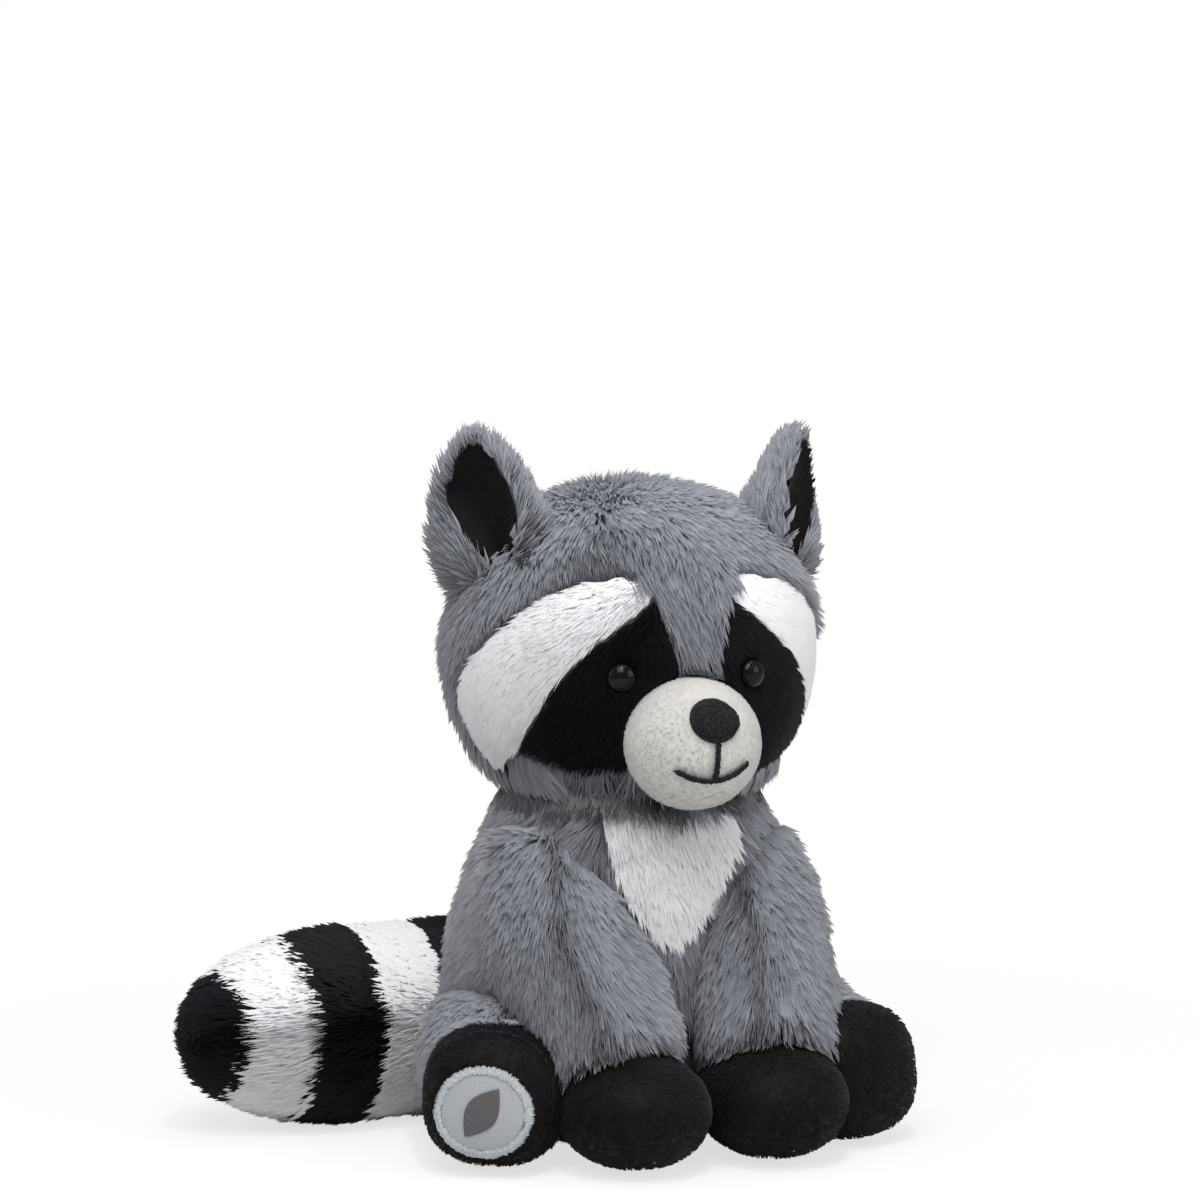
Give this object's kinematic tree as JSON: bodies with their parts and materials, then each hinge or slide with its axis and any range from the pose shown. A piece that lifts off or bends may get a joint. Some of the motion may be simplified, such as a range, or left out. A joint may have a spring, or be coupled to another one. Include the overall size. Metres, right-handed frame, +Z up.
{
  "type": "plush raccoon",
  "caption": "Seated plush raccoon with pointed ears, dark eye mask, cream muzzle, dark hands and feet, and a banded tail lying at its right side.",
  "frame": {"origin": "on the floor, under the middle of the seat", "axes": "+Z up; the toy faces -Y; its left side is +X"},
  "size_m": [0.2529, 0.1868, 0.2601],
  "materials": {
    "grey_plush": "long combed pile, blue-grey",
    "white_plush": "combed pile, cool white",
    "black_plush": "combed pile, blue-black",
    "black_short_pile": "short smooth pile with a soft sheen",
    "cream_velboa": "very short pile, smooth, cream",
    "black_thread": "satin stitch in black thread",
    "eye_plastic": "polished black dome",
    "washer_plastic": "moulded white locking washer",
    "stuffing": "polyester filling",
    "badge_cloth": "short silver-grey pile",
    "badge_thread": "satin-stitched border in silver-grey thread",
    "badge_dark": "dark short pile applique"
  },
  "bodies": {
    "root": {"head_cover": "grey_plush", "head_stuffing": "stuffing", "brow_left": "white_plush", "brow_right": "white_plush", "eye_patch_left": "black_plush", "eye_patch_right": "black_plush", "muzzle_cover": "cream_velboa", "nose": "black_thread", "mouth": "black_thread", "eye_left": "eye_plastic", "eye_right": "eye_plastic", "eye_washer_left": "washer_plastic", "eye_washer_right": "washer_plastic", "ear_back_left": "grey_plush", "ear_back_right": "grey_plush", "ear_lining_left": "black_short_pile", "ear_lining_right": "black_short_pile", "body_cover": "grey_plush", "body_stuffing": "stuffing", "bib": "white_plush", "arm_cover_left": "grey_plush", "arm_stuffing_left": "stuffing", "hand_upper_left": "black_short_pile", "hand_sole_left": "black_short_pile", "arm_cover_right": "grey_plush", "arm_stuffing_right": "stuffing", "hand_upper_right": "black_short_pile", "hand_sole_right": "black_short_pile", "leg_cover_left": "grey_plush", "leg_stuffing_left": "stuffing", "foot_upper_left": "black_short_pile", "foot_sole_left": "black_short_pile", "leg_cover_right": "grey_plush", "leg_stuffing_right": "stuffing", "foot_upper_right": "black_short_pile", "foot_sole_right": "black_short_pile", "sole_badge": "badge_cloth", "sole_badge_border": "badge_thread", "sole_badge_leaf": "badge_dark", "tail_tip": "black_plush", "tail_band_1": "white_plush", "tail_band_2": "black_plush", "tail_band_3": "white_plush", "tail_band_4": "black_plush", "tail_root": "white_plush", "tail_stuffing": "stuffing"}
  },
  "joints": []
}
